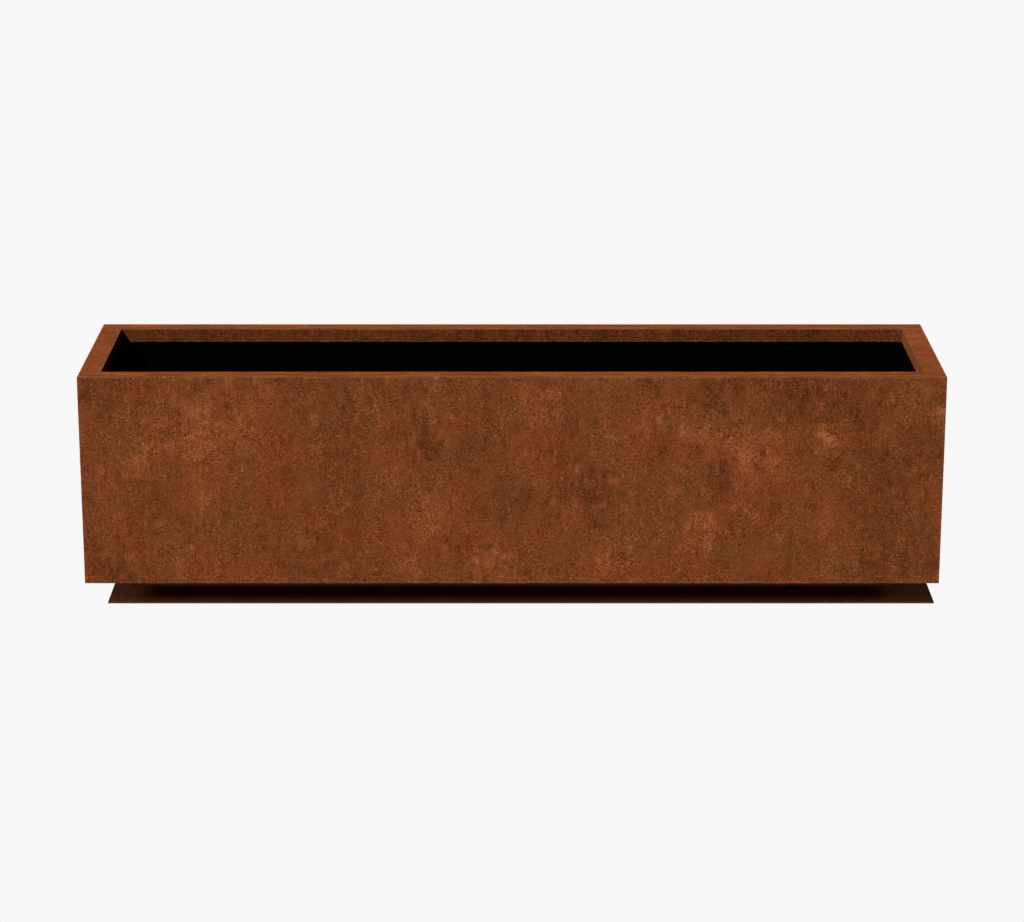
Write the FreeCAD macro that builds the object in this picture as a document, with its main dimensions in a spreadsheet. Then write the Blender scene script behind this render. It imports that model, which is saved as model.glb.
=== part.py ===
"""Long weathering-steel planter box on a recessed plinth, with a base plate.

Frame: X along the length, +Y to the back, +Z up. The origin is on the ground, at the middle of the
box. The outer skin is four folded sheets with mitred corners. Behind the rim's return there is a
pocket that holds the corner angles, the wall stiffeners and the liner boards.
"""
import FreeCAD, Part
import math
import os
import re
import Sketcher

os.makedirs("parts", exist_ok=True)
doc = FreeCAD.newDocument("planter_box")

# ---------------------------------------------------------------- driving dimensions, mm
SIZES = {
    "box_length": 2000,
    "box_width": 500,
    "box_height": 500,
    "shadow_gap": 50,            # from the ground to the underside of the box
    "sheet": 3,                  # thickness of the folded sheet
    "fold_radius": 1.2,          # outside radius of the visible folds
    "rim_width": 50,
    "rim_return": 32,            # height of the down-turned return, rim included
    "flange_width": 40,          # bottom flange that carries the floor plate
    "floor_sheet": 4,
    "floor_clearance": 4,        # floor plate to wall
    "pocket_depth": 40.5,        # wall to liner, the depth of the stiffeners
    "rim_clearance": 2,          # top of the angles and stiffeners to the rim
    "angle_leg": 40,
    "stiffener_crown": 40,
    "stiffener_foot": 20,
    "tie_spacing": 666,          # between the two cross ties
    "tie_height": 330,           # middle of the tie above the ground
    "tie_tube_height": 40,
    "tie_tube_width": 20,
    "tie_tube_wall": 2,
    "tie_plate_height": 110,
    "tie_plate_sheet": 5,
    "liner_sheet": 3,
    "liner_top_gap": 8,
    "plinth_front_inset": 116,   # box front to plinth front
    "plinth_end_inset": 96,
    "plinth_flange": 37,
    "bearer_spacing": 600,
    "bearer_width": 60,
    "base_sheet": 4,
    "base_left_inset": 52,       # the base plate sits nearer to the right end
    "base_right_inset": 10,
    "base_side_inset": 1,
    "anchor_spacing_long": 1500,
    "anchor_spacing_wide": 120,
    "anchor_hole_radius": 7,
    "access_radius": 30,
    "drain_spacing": 600,
    "drain_outer_radius": 16,
    "drain_bore_radius": 12,
    "drain_flange_radius": 30,
    "base_drain_radius": 30,
    "small_bolt_radius": 3,      # M6 wall studs
    "bolt_radius": 4,            # M8 floor bolts, tie bolts and base studs
    "bolt_clearance": 0.5,       # radial clearance of a bolt hole
    "washer_sheet": 1.6,
    "flange_bolt_pitch": 300,
    "plinth_bolt_pitch": 420,
    "stud_pitch": 135,
    "lowest_stud": 112,
    "angle_stud": 24,            # stud hole from the corner of the angle
    "flange_bolt_inset": 30,
    "end_bolt_spacing": 240,
    "plinth_bolt_inset": 20,
    "tie_bolt_offset": 38,
    "lowest_rivet": 130,
    "highest_rivet": 410,
    "rivet_radius": 2.4,
    "rivet_clearance": 0.1,
    "rivet_head_radius": 6,
    "rivet_head_height": 1.6,
    "rivet_length": 9,
    "thread_clearance": 0.05,
    "nut_flats": 13,
    "nut_height": 6.5,
    "bolt_head": 5.3,
    "floor_bolt_length": 16,
    "tie_bolt_length": 20,
    "washer_radius": 8,
    "small_nut_flats": 10,
    "small_nut_height": 5,
    "small_washer_radius": 6,
    "wall_stud_length": 14,
    "base_stud_length": 16,
    "drain_end_height": 22,      # lower end of the drain pipes above the ground
    "drain_flange_sheet": 4,
    "drain_nut_flats": 46,
    "drain_nut_height": 8,
    "strainer_radius": 26,
    "strainer_height": 28,
    "strainer_wall": 2.5,
    "strainer_slot": 4,
    "cap_lip": 4,
    "cap_sheet": 3,
    "cap_depth": 8,
    "overcut": 1,                # how far a cutting tool runs past the face it cuts
}

sheet = doc.addObject("Spreadsheet::Sheet", "Sizes")
for row, (alias, value) in enumerate(SIZES.items(), start=1):
    sheet.set(f"A{row}", alias)
    sheet.set(f"B{row}", str(value))
    sheet.setAlias(f"B{row}", alias)
doc.recompute()

WORD = re.compile(r"[a-z_]{4,}")
UP = FreeCAD.Vector(0, 0, 1)
TOUCH = 1e-6
nodes = []


def with_sheet_name(match):
    """A word of an expression, with the sheet's name in front when it is an alias."""
    word = match.group()
    return f"Sizes.{word}" if word in SIZES else word


def bound(text):
    """An expression over the sheet's aliases, written for setExpression."""
    return WORD.sub(with_sheet_name, str(text))


def value(text):
    """The number that such an expression gives."""
    return float(sheet.evalExpression(bound(text)))


def keep(item, label):
    """Make an object a sub-part, which is written to its own file."""
    item.Label = label
    nodes.append(item)
    return item


# ---------------------------------------------------------------- builders
def block(name, low, high):
    """A box between two corners, each given as three expressions."""
    item = doc.addObject("Part::Box", name)
    for axis, length, start, end in zip("xyz", ("Length", "Width", "Height"), low, high):
        item.setExpression(f"Placement.Base.{axis}", bound(start))
        item.setExpression(length, bound(f"({end}) - ({start})"))
    return item


def rod(name, centre, radius, length):
    """An upright cylinder that starts at centre."""
    item = doc.addObject("Part::Cylinder", name)
    item.setExpression("Radius", bound(radius))
    item.setExpression("Height", bound(length))
    for axis, place in zip("xyz", centre):
        item.setExpression(f"Placement.Base.{axis}", bound(place))
    return item


def fused(name, pieces):
    item = doc.addObject("Part::MultiFuse", name)
    item.Shapes = pieces
    item.Refine = True
    return item


def cut(name, base, tools):
    item = doc.addObject("Part::Cut", name)
    item.Base = base
    item.Tool = tools[0] if len(tools) == 1 else fused(f"{name}_tools", tools)
    return item


def outline(body, name, plane, points):
    """A closed sketch through points whose coordinates are bound to the sheet."""
    sketch = body.newObject("Sketcher::SketchObject", name)
    origin_plane = next(item for item in body.Origin.OriginFeatures if item.Role == plane)
    sketch.AttachmentSupport = [(origin_plane, "")]
    sketch.MapMode = "FlatFace"
    corners = [FreeCAD.Vector(value(across), value(up), 0) for across, up in points]
    for start, end in zip(corners, corners[1:] + corners[:1]):
        sketch.addGeometry(Part.LineSegment(start, end))
    count = len(points)
    for index in range(count):
        sketch.addConstraint(Sketcher.Constraint("Coincident", index, 2, (index + 1) % count, 1))
    for index, (point, corner) in enumerate(zip(points, corners)):
        for kind, text, number in zip(("DistanceX", "DistanceY"), point, corner):
            place = sketch.addConstraint(Sketcher.Constraint(kind, -1, 1, index, 1, number))
            sketch.setExpression(f"Constraints[{place}]", bound(text))
    return sketch


def pad(body, sketch, length, both_ways=True):
    feature = body.newObject("PartDesign::Pad", f"{sketch.Name}_pad")
    feature.Profile = sketch
    feature.SideType = "Symmetric" if both_ways else "One side"
    feature.setExpression("Length", bound(length))
    sketch.Visibility = False
    return feature


def mitred_rail(name, profile, length, reach, depth, folds=()):
    """A folded sheet run along X with both ends mitred at 45 degrees.

    profile lies in the YZ plane, with its outer face at -reach, and reaches inwards by less than
    depth. folds are the places of the outside edges that are rounded.
    """
    body = doc.addObject("PartDesign::Body", name)
    section = outline(body, f"{name}_section", "YZ_Plane", profile)
    run = pad(body, section, length)
    doc.recompute()
    if folds:
        rounding = body.newObject("PartDesign::Fillet", f"{name}_folds")
        rounding.Base = (run, edges_along_x(run.Shape, folds))
        rounding.setExpression("Radius", bound("fold_radius"))
        doc.recompute()
    for side, sign in (("left", -1), ("right", 1)):
        end = f"{sign} * ({length}) / 2"
        inner = f"{sign} * (({length}) / 2 - ({depth}))"
        outer_face = f"-1 * ({reach})"
        inner_line = f"{depth} - ({reach})"
        corners = [(end, outer_face), (inner, inner_line), (end, inner_line)]
        corner = outline(body, f"{name}_{side}_mitre", "XY_Plane", corners)
        before = body.Shape.Volume
        mitre = body.newObject("PartDesign::Pocket", f"{name}_{side}_cut")
        mitre.Profile = corner
        mitre.Type = "ThroughAll"
        mitre.SideType = "Symmetric"
        corner.Visibility = False
        doc.recompute()
        if body.Shape.Volume >= before:
            raise RuntimeError(f"{name}: the {side} mitre cut nothing")
    return body


def edges_along_x(shape, places):
    """Names of the edges that run along X through the given places of the YZ plane."""
    found = []
    for number, edge in enumerate(shape.Edges, start=1):
        middle = edge.CenterOfMass
        for along_y, along_z in places:
            away = math.hypot(middle.y - value(along_y), middle.z - value(along_z))
            if away < TOUCH and abs(middle.x) < TOUCH:
                found.append(f"Edge{number}")
    return found


def turned(item, angle, centre):
    """Turn a piece about Z and move it."""
    item.Placement = FreeCAD.Placement(FreeCAD.Vector(), FreeCAD.Rotation(UP, angle))
    for axis, place in zip("xyz", centre):
        item.setExpression(f"Placement.Base.{axis}", bound(place))
    return item


def across(name, centre, radius, length, direction):
    """A cylinder that starts at centre and runs along direction."""
    item = rod(name, centre, radius, length)
    item.Placement.Rotation = FreeCAD.Rotation(UP, FreeCAD.Vector(*direction))
    return item


def group(label, master, places):
    """Like pieces, as separate solids of one sub-part."""
    item = doc.addObject("Part::Feature", label)
    copies = []
    for place in places:
        copy = master.Shape.copy()
        copy.Placement = place.multiply(master.Placement)
        copies.append(copy)
    item.Shape = Part.makeCompound(copies)
    return keep(item, label)


def hexagon(name, across_flats, height, bore):
    """A hexagon nut, from z = 0 up."""
    prism = doc.addObject("Part::Prism", f"{name}_prism")
    prism.Polygon = 6
    prism.setExpression("Circumradius", bound(f"({across_flats}) / sqrt(3)"))
    prism.setExpression("Height", bound(height))
    bore_rod = rod(f"{name}_bore", ("0", "0", "-1 * overcut"), bore, f"({height}) + 2 * overcut")
    return cut(name, prism, [bore_rod])


def hex_bolt(name, across_flats, head, radius, length):
    """A hexagon bolt whose head stands on z = 0 and whose shank points down."""
    prism = doc.addObject("Part::Prism", f"{name}_head")
    prism.Polygon = 6
    prism.setExpression("Circumradius", bound(f"({across_flats}) / sqrt(3)"))
    prism.setExpression("Height", bound(head))
    shank = rod(f"{name}_shank", ("0", "0", f"-1 * ({length})"), radius, length)
    return fused(name, [prism, shank])


def ring(name, outer, inner, height):
    """A flat washer, from z = 0 up."""
    disc = rod(f"{name}_disc", ("0", "0", "0"), outer, height)
    hole = rod(f"{name}_hole", ("0", "0", "-1 * overcut"), inner, f"({height}) + 2 * overcut")
    return cut(name, disc, [hole])


def upright(x, y, z):
    return FreeCAD.Placement(FreeCAD.Vector(x, y, z), FreeCAD.Rotation())


def facing(point, direction):
    """The placement that turns +Z to direction, at point."""
    return FreeCAD.Placement(FreeCAD.Vector(*point), FreeCAD.Rotation(UP, FreeCAD.Vector(*direction)))


# ---------------------------------------------------------------- shared places
HALF_LENGTH = "box_length / 2"
HALF_WIDTH = "box_width / 2"
TOP = "shadow_gap + box_height"
FLOOR = "shadow_gap + sheet"
FLOOR_TOP = f"{FLOOR} + floor_sheet"
WALL_X = f"({HALF_LENGTH} - sheet)"
WALL_Y = f"({HALF_WIDTH} - sheet)"
POST_HEIGHT = f"{TOP} - sheet - rim_clearance - ({FLOOR_TOP})"
PLINTH_X = f"({HALF_LENGTH} - plinth_end_inset)"
PLINTH_Y = f"({HALF_WIDTH} - plinth_front_inset)"
HOLE = "bolt_radius + bolt_clearance"
STUD_HOLE = "small_bolt_radius + bolt_clearance"
RIVET_HOLE = "rivet_radius + rivet_clearance"
THROUGH_SHEET = "sheet + 2 * overcut"
SIDES = (("front", -1), ("back", 1))
ENDS = (("left", -1), ("right", 1))
STUD_ROWS = 4
FLANGE_BOLT_STEPS = range(-3, 4)      # seven bolts along each long flange
PLINTH_BOLT_STEPS = range(-2, 3)      # five bolts along each long plinth rail
BASE_STUD_STEPS = (-3, -1, 1, 3)      # half pitches: the studs stand between the plinth bolts

stud_heights = [value("lowest_stud") + row * value("stud_pitch") for row in range(STUD_ROWS)]
tie_bolt_heights = [f"tie_height + {sign} * tie_bolt_offset" for sign in (-1, 1)]
rivet_heights = ["lowest_rivet", "highest_rivet"]

# bolts that hold the floor plate down: to the flanges of the box, and to the plinth
flange_bolts = []
for side, sign in SIDES:
    line = f"{sign} * ({HALF_WIDTH} - flange_bolt_inset)"
    for step in FLANGE_BOLT_STEPS:
        flange_bolts.append((side, f"{step} * flange_bolt_pitch", line))
for side, sign in ENDS:
    line = f"{sign} * ({HALF_LENGTH} - flange_bolt_inset)"
    for step in (-1, 1):
        flange_bolts.append((side, line, f"{step} * end_bolt_spacing / 2"))
plinth_bolts = []
base_studs = []
for side, sign in SIDES:
    line = f"{sign} * ({PLINTH_Y} - plinth_bolt_inset)"
    for step in PLINTH_BOLT_STEPS:
        plinth_bolts.append((side, f"{step} * plinth_bolt_pitch", line))
    for step in BASE_STUD_STEPS:
        base_studs.append((side, f"{step} * plinth_bolt_pitch / 2", line))
drains = [(f"{step} * drain_spacing", "0") for step in (-1, 0, 1)]
anchors = []
for along in (-1, 1):
    for wide in (-1, 1):
        anchors.append((f"{along} * anchor_spacing_long / 2", f"{wide} * anchor_spacing_wide / 2"))


def holes(name, places, radius, low, high):
    """Upright cutting cylinders that run past both heights."""
    length = f"({high}) - ({low}) + 2 * overcut"
    tools = []
    for index, (x, y) in enumerate(places, start=1):
        tools.append(rod(f"{name}_{index}", (x, y, f"{low} - overcut"), radius, length))
    return tools


def on_side(places, wanted):
    return [(x, y) for side, x, y in places if side == wanted]


# ---------------------------------------------------------------- box: four folded walls
def wall_panel(side, angle, length, reach):
    """A wall with its rim, the rim's return and the bottom flange, all in one folded sheet."""
    face = f"-1 * {reach}"
    profile = [
        (face, "shadow_gap"),
        (face, TOP),
        (f"{face} + rim_width", TOP),
        (f"{face} + rim_width", f"{TOP} - rim_return"),
        (f"{face} + rim_width - sheet", f"{TOP} - rim_return"),
        (f"{face} + rim_width - sheet", f"{TOP} - sheet"),
        (f"{face} + sheet", f"{TOP} - sheet"),
        (f"{face} + sheet", FLOOR),
        (f"{face} + flange_width", FLOOR),
        (f"{face} + flange_width", "shadow_gap"),
    ]
    folds = [profile[0], profile[1], profile[2]]
    sheet_run = mitred_rail(f"{side}_sheet", profile, length, reach, "rim_width + sheet", folds)
    turned(sheet_run, angle, ("0", "0", "0"))
    tools = holes(f"{side}_flange_hole", on_side(flange_bolts, side), HOLE, "shadow_gap", FLOOR)
    keep(cut(f"{side}_panel", sheet_run, tools), f"{side}_panel")


wall_panel("front", 0, "box_length", f"({HALF_WIDTH})")
wall_panel("right", 90, "box_width", f"({HALF_LENGTH})")
wall_panel("back", 180, "box_length", f"({HALF_WIDTH})")
wall_panel("left", 270, "box_width", f"({HALF_LENGTH})")


# ---------------------------------------------------------------- corner angles
def corner_angle(name, angle, x, y):
    """An upright angle with four stud holes in each leg."""
    body = doc.addObject("PartDesign::Body", f"{name}_bar")
    legs = [
        ("0", "0"),
        ("angle_leg", "0"),
        ("angle_leg", "sheet"),
        ("sheet", "sheet"),
        ("sheet", "angle_leg"),
        ("0", "angle_leg"),
    ]
    pad(body, outline(body, f"{name}_section", "XY_Plane", legs), POST_HEIGHT, both_ways=False)
    tools = []
    for number, height in enumerate(stud_heights, start=1):
        local = f"{height} - ({FLOOR_TOP})"
        in_x_leg = ("angle_stud", "-1 * overcut", local)
        in_y_leg = ("-1 * overcut", "angle_stud", local)
        tools.append(across(f"{name}_x_leg{number}", in_x_leg, STUD_HOLE, THROUGH_SHEET, (0, 1, 0)))
        tools.append(across(f"{name}_y_leg{number}", in_y_leg, STUD_HOLE, THROUGH_SHEET, (1, 0, 0)))
    turned(keep(cut(name, body, tools), name), angle, (x, y, FLOOR_TOP))


corner_angle("corner_angle_front_left", 0, f"-1 * {WALL_X}", f"-1 * {WALL_Y}")
corner_angle("corner_angle_front_right", 90, WALL_X, f"-1 * {WALL_Y}")
corner_angle("corner_angle_back_right", 180, WALL_X, WALL_Y)
corner_angle("corner_angle_back_left", 270, f"-1 * {WALL_X}", WALL_Y)


# ---------------------------------------------------------------- wall stiffeners
def stiffener(name, angle, x, y):
    """A top-hat section whose feet lie on the wall and whose crown backs the liner."""
    body = doc.addObject("PartDesign::Body", f"{name}_hat")
    crown = "stiffener_crown / 2"
    foot = f"({crown} + stiffener_foot)"
    half_outline = [
        (foot, "0"),
        (foot, "sheet"),
        (crown, "sheet"),
        (crown, "pocket_depth"),
    ]
    inner_half = [
        (f"{crown} - sheet", "pocket_depth - sheet"),
        (f"{crown} - sheet", "0"),
    ]
    mirrored = [(f"-1 * ({across_x})", up) for across_x, up in reversed(half_outline)]
    mirrored_inner = [(f"-1 * ({across_x})", up) for across_x, up in reversed(inner_half)]
    hat = half_outline + mirrored + mirrored_inner + inner_half
    pad(body, outline(body, f"{name}_section", "XY_Plane", hat), POST_HEIGHT, both_ways=False)
    tools = []
    for number, height in enumerate(stud_heights, start=1):
        local = f"{height} - ({FLOOR_TOP})"
        for sign in (-1, 1):
            place = (f"{sign} * ({crown} + stiffener_foot / 2)", "-1 * overcut", local)
            label = f"{name}_foot{number}{'left' if sign < 0 else 'right'}"
            tools.append(across(label, place, STUD_HOLE, THROUGH_SHEET, (0, 1, 0)))
    for number, height in enumerate(tie_bolt_heights + rivet_heights, start=1):
        radius = HOLE if height in tie_bolt_heights else RIVET_HOLE
        place = ("0", "pocket_depth - sheet - overcut", f"{height} - ({FLOOR_TOP})")
        tools.append(across(f"{name}_crown{number}", place, radius, THROUGH_SHEET, (0, 1, 0)))
    turned(keep(cut(name, body, tools), name), angle, (x, y, FLOOR_TOP))


for end, along in ENDS:
    for side, sign in SIDES:
        stiffener(
            f"wall_stiffener_{side}_{end}",
            0 if side == "front" else 180,
            f"{along} * tie_spacing / 2",
            f"{sign} * {WALL_Y}",
        )


# ---------------------------------------------------------------- liner boards
LINER_LOW = FLOOR_TOP
LINER_HIGH = f"{TOP} - sheet - liner_top_gap"
for side, sign in SIDES:
    outer = f"({WALL_Y} - pocket_depth)"
    inner = f"({outer} - liner_sheet)"
    long_half = f"({WALL_X} - pocket_depth)"
    near = inner if sign > 0 else f"-1 * {outer}"
    far = outer if sign > 0 else f"-1 * {inner}"
    board = block(f"{side}_board", (f"-1 * {long_half}", near, LINER_LOW), (long_half, far, LINER_HIGH))
    tools = []
    for end, along in ENDS:
        for number, height in enumerate(tie_bolt_heights + rivet_heights, start=1):
            radius = HOLE if height in tie_bolt_heights else RIVET_HOLE
            place = (f"{along} * tie_spacing / 2", f"{near} - overcut", height)
            label = f"{side}_liner_{end}{number}"
            tools.append(across(label, place, radius, "liner_sheet + 2 * overcut", (0, 1, 0)))
    keep(cut(f"liner_{side}", board, tools), f"liner_{side}")
for side, sign in ENDS:
    outer = f"({WALL_X} - pocket_depth)"
    inner = f"({outer} - liner_sheet)"
    near = inner if sign > 0 else f"-1 * {outer}"
    far = outer if sign > 0 else f"-1 * {inner}"
    reach = f"({WALL_Y} - pocket_depth - liner_sheet)"
    board = block(f"{side}_board", (near, f"-1 * {reach}", LINER_LOW), (far, reach, LINER_HIGH))
    keep(board, f"liner_{side}")


# ---------------------------------------------------------------- cross ties
TIE_END = f"({WALL_Y} - pocket_depth - liner_sheet)"
TIE_FACE = f"({TIE_END} - tie_plate_sheet)"
tie_plates = []
for end, along in ENDS:
    middle = f"{along} * tie_spacing / 2"
    half_wide = "tie_tube_width / 2"
    half_tall = "tie_tube_height / 2"
    tube = block(
        f"tie_tube_{end}",
        (f"{middle} - {half_wide}", f"-1 * {TIE_FACE}", f"tie_height - {half_tall}"),
        (f"{middle} + {half_wide}", TIE_FACE, f"tie_height + {half_tall}"),
    )
    inner_wide = f"({half_wide} - tie_tube_wall)"
    inner_tall = f"({half_tall} - tie_tube_wall)"
    bore = block(
        f"tie_bore_{end}",
        (f"{middle} - {inner_wide}", f"-1 * {TIE_FACE}", f"tie_height - {inner_tall}"),
        (f"{middle} + {inner_wide}", TIE_FACE, f"tie_height + {inner_tall}"),
    )
    keep(cut(f"cross_tie_{end}", tube, [bore]), f"cross_tie_{end}")
    for side, sign in SIDES:
        near = TIE_FACE if sign > 0 else f"-1 * {TIE_END}"
        far = TIE_END if sign > 0 else f"-1 * {TIE_FACE}"
        name = f"tie_plate_{side}_{end}"
        plate = block(
            f"{name}_blank",
            (f"{middle} - stiffener_crown / 2", near, "tie_height - tie_plate_height / 2"),
            (f"{middle} + stiffener_crown / 2", far, "tie_height + tie_plate_height / 2"),
        )
        tools = []
        for number, height in enumerate(tie_bolt_heights, start=1):
            place = (middle, f"{near} - overcut", height)
            through = "tie_plate_sheet + 2 * overcut"
            tools.append(across(f"{name}_hole{number}", place, HOLE, through, (0, 1, 0)))
        keep(cut(name, plate, tools), name)


# ---------------------------------------------------------------- floor plate
floor_x = f"({WALL_X} - floor_clearance)"
floor_y = f"({WALL_Y} - floor_clearance)"
blank = block("floor_blank", (f"-1 * {floor_x}", f"-1 * {floor_y}", FLOOR), (floor_x, floor_y, FLOOR_TOP))
floor_bolt_places = [(x, y) for side, x, y in flange_bolts + plinth_bolts]
tools = holes("floor_bolt_hole", floor_bolt_places, HOLE, FLOOR, FLOOR_TOP)
tools += holes("floor_drain_hole", drains, "drain_outer_radius + bolt_clearance", FLOOR, FLOOR_TOP)
tools += holes("floor_access_hole", anchors, "access_radius", FLOOR, FLOOR_TOP)
keep(cut("floor_plate", blank, tools), "floor_plate")


# ---------------------------------------------------------------- plinth
def plinth_rail(side, angle, length, reach):
    """A channel that opens inwards, between the base plate and the floor plate."""
    face = f"-1 * {reach}"
    profile = [
        (face, "base_sheet"),
        (face, FLOOR),
        (f"{face} + plinth_flange", FLOOR),
        (f"{face} + plinth_flange", f"{FLOOR} - sheet"),
        (f"{face} + sheet", f"{FLOOR} - sheet"),
        (f"{face} + sheet", "base_sheet + sheet"),
        (f"{face} + plinth_flange", "base_sheet + sheet"),
        (f"{face} + plinth_flange", "base_sheet"),
    ]
    rail = mitred_rail(f"plinth_{side}_channel", profile, length, reach, "plinth_flange + sheet")
    turned(rail, angle, ("0", "0", "0"))
    label = f"plinth_rail_{side}"
    top_holes = on_side(plinth_bolts, side)
    if not top_holes:
        keep(rail, label)
        return
    tools = holes(f"{label}_top", top_holes, HOLE, f"{FLOOR} - sheet", FLOOR)
    tools += holes(f"{label}_foot", on_side(base_studs, side), HOLE, "base_sheet", "base_sheet + sheet")
    keep(cut(label, rail, tools), label)


plinth_rail("front", 0, f"2 * {PLINTH_X}", PLINTH_Y)
plinth_rail("right", 90, f"2 * {PLINTH_Y}", PLINTH_X)
plinth_rail("back", 180, f"2 * {PLINTH_X}", PLINTH_Y)
plinth_rail("left", 270, f"2 * {PLINTH_Y}", PLINTH_X)

for end, along in ENDS:
    middle = f"({along} * bearer_spacing / 2)"
    half_wide = "bearer_width / 2"
    clear_y = f"({PLINTH_Y} - plinth_flange)"
    left_side = f"{middle} - {half_wide}"
    right_side = f"{middle} + {half_wide}"
    channel = block(
        f"bearer_{end}_outside",
        (left_side, f"-1 * {clear_y}", "base_sheet"),
        (right_side, clear_y, FLOOR),
    )
    hollow = block(
        f"bearer_{end}_hollow",
        (f"{left_side} + sheet", f"-1 * {clear_y}", "base_sheet - overcut"),
        (f"{right_side} - sheet", clear_y, f"{FLOOR} - sheet"),
    )
    tongues = []
    for number, low_x in enumerate((left_side, f"{right_side} - sheet"), start=1):
        tongues.append(
            block(
                f"bearer_{end}_tongue{number}",
                (low_x, f"-1 * ({PLINTH_Y} - sheet)", "base_sheet + sheet"),
                (f"{low_x} + sheet", f"{PLINTH_Y} - sheet", f"{FLOOR} - sheet"),
            )
        )
    open_channel = cut(f"bearer_{end}_channel", channel, [hollow])
    label = f"plinth_bearer_{end}"
    keep(fused(label, [open_channel] + tongues), label)


# ---------------------------------------------------------------- base plate
blank = block(
    "base_blank",
    (f"base_left_inset - {HALF_LENGTH}", f"base_side_inset - {HALF_WIDTH}", "0"),
    (f"{HALF_LENGTH} - base_right_inset", f"{HALF_WIDTH} - base_side_inset", "base_sheet"),
)
tools = holes("anchor_hole", anchors, "anchor_hole_radius", "0", "base_sheet")
tools += holes("base_drain_hole", drains, "base_drain_radius", "0", "base_sheet")
keep(cut("base_plate", blank, tools), "base_plate")


# ---------------------------------------------------------------- drains and access caps
COLLAR_TOP = f"{FLOOR_TOP} + drain_flange_sheet"
PIPE_LENGTH = f"{FLOOR_TOP} - drain_end_height"
STRAINER_CUTS = 4                     # each cut crosses the strainer, so it opens two slots
STRAINER_TURN = 180 / STRAINER_CUTS
for (x, y), place in zip(drains, ("left", "middle", "right")):
    name = f"drain_outlet_{place}"
    collar = rod(f"{name}_collar", (x, y, FLOOR_TOP), "drain_flange_radius", "drain_flange_sheet")
    pipe = rod(f"{name}_pipe", (x, y, "drain_end_height"), "drain_outer_radius", PIPE_LENGTH)
    solid = fused(f"{name}_solid", [collar, pipe])
    tools = holes(f"{name}_bore", [(x, y)], "drain_bore_radius", "drain_end_height", COLLAR_TOP)
    keep(cut(name, solid, tools), name)

    name = f"drain_strainer_{place}"
    outside = rod(f"{name}_outside", (x, y, COLLAR_TOP), "strainer_radius", "strainer_height")
    inside = rod(
        f"{name}_inside",
        (x, y, f"{COLLAR_TOP} - overcut"),
        "strainer_radius - strainer_wall",
        "strainer_height - strainer_wall + overcut",
    )
    slot_middle = FreeCAD.Vector(value(x), value(y), value(f"{COLLAR_TOP} + strainer_height / 4"))
    tools = [inside]
    for number in range(STRAINER_CUTS):
        slot = doc.addObject("Part::Box", f"{name}_slot{number}")
        slot.setExpression("Length", bound("3 * strainer_radius"))
        slot.setExpression("Width", bound("strainer_slot"))
        slot.setExpression("Height", bound("strainer_height / 2"))
        slot.recompute()
        turn = FreeCAD.Rotation(UP, STRAINER_TURN * number)
        corner = FreeCAD.Vector(-slot.Length / 2, -slot.Width / 2, 0)
        slot.Placement = FreeCAD.Placement(slot_middle + turn.multVec(corner), turn)
        tools.append(slot)
    keep(cut(name, outside, tools), name)

PIPE_THREAD = "drain_outer_radius + thread_clearance"
lock_nut = hexagon("drain_lock_nut_one", "drain_nut_flats", "drain_nut_height", PIPE_THREAD)
doc.recompute()
drain_places = [upright(value(x), value(y), value(f"{FLOOR} - drain_nut_height")) for x, y in drains]
group("drain_lock_nuts", lock_nut, drain_places)

cap_disc = rod("cap_disc", ("0", "0", "0"), "access_radius + cap_lip", "cap_sheet")
cap_foot = ("0", "0", "-1 * cap_depth")
cap_plug = rod("cap_plug", cap_foot, "access_radius - thread_clearance", "cap_depth")
access_cap = fused("access_cap_one", [cap_disc, cap_plug])
doc.recompute()
cap_places = [upright(value(x), value(y), value(FLOOR_TOP)) for x, y in anchors]
group("access_caps", access_cap, cap_places)


# ---------------------------------------------------------------- fasteners
THREAD = "bolt_radius + thread_clearance"
SMALL_THREAD = "small_bolt_radius + thread_clearance"
floor_bolt = hex_bolt("floor_bolt_one", "nut_flats", "bolt_head", "bolt_radius", "floor_bolt_length")
tie_bolt = hex_bolt("tie_bolt_one", "nut_flats", "bolt_head", "bolt_radius", "tie_bolt_length")
nut = hexagon("nut_one", "nut_flats", "nut_height", THREAD)
washer = ring("washer_one", "washer_radius", THREAD, "washer_sheet")
small_nut = hexagon("small_nut_one", "small_nut_flats", "small_nut_height", SMALL_THREAD)
small_washer = ring("small_washer_one", "small_washer_radius", SMALL_THREAD, "washer_sheet")
wall_stud = rod("wall_stud_one", ("0", "0", "0"), "small_bolt_radius", "wall_stud_length")
base_stud = rod("base_stud_one", ("0", "0", "0"), "bolt_radius", "base_stud_length")
rivet_head = rod("rivet_head", ("0", "0", "0"), "rivet_head_radius", "rivet_head_height")
rivet_shank = rod("rivet_shank", ("0", "0", "-1 * rivet_length"), "rivet_radius", "rivet_length")
rivet = fused("rivet_one", [rivet_head, rivet_shank])
doc.recompute()

floor_top = value(FLOOR_TOP)
washer_height = value("washer_sheet")
nut_depth = value("nut_height")
bolt_points = []
for places, underside in ((flange_bolts, "shadow_gap"), (plinth_bolts, f"{FLOOR} - sheet")):
    for side, x, y in places:
        bolt_points.append((value(x), value(y), value(underside)))
head_seat = floor_top + washer_height
group("floor_bolts", floor_bolt, [upright(x, y, head_seat) for x, y, low in bolt_points])
group("floor_bolt_washers", washer, [upright(x, y, floor_top) for x, y, low in bolt_points])
group("floor_bolt_nuts", nut, [upright(x, y, low - nut_depth) for x, y, low in bolt_points])

stud_points = [(value(x), value(y)) for side, x, y in base_studs]
rail_foot = value("base_sheet + sheet")
group("base_studs", base_stud, [upright(x, y, value("base_sheet")) for x, y in stud_points])
group("base_stud_washers", washer, [upright(x, y, rail_foot) for x, y in stud_points])
group("base_stud_nuts", nut, [upright(x, y, rail_foot + washer_height) for x, y in stud_points])

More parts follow.
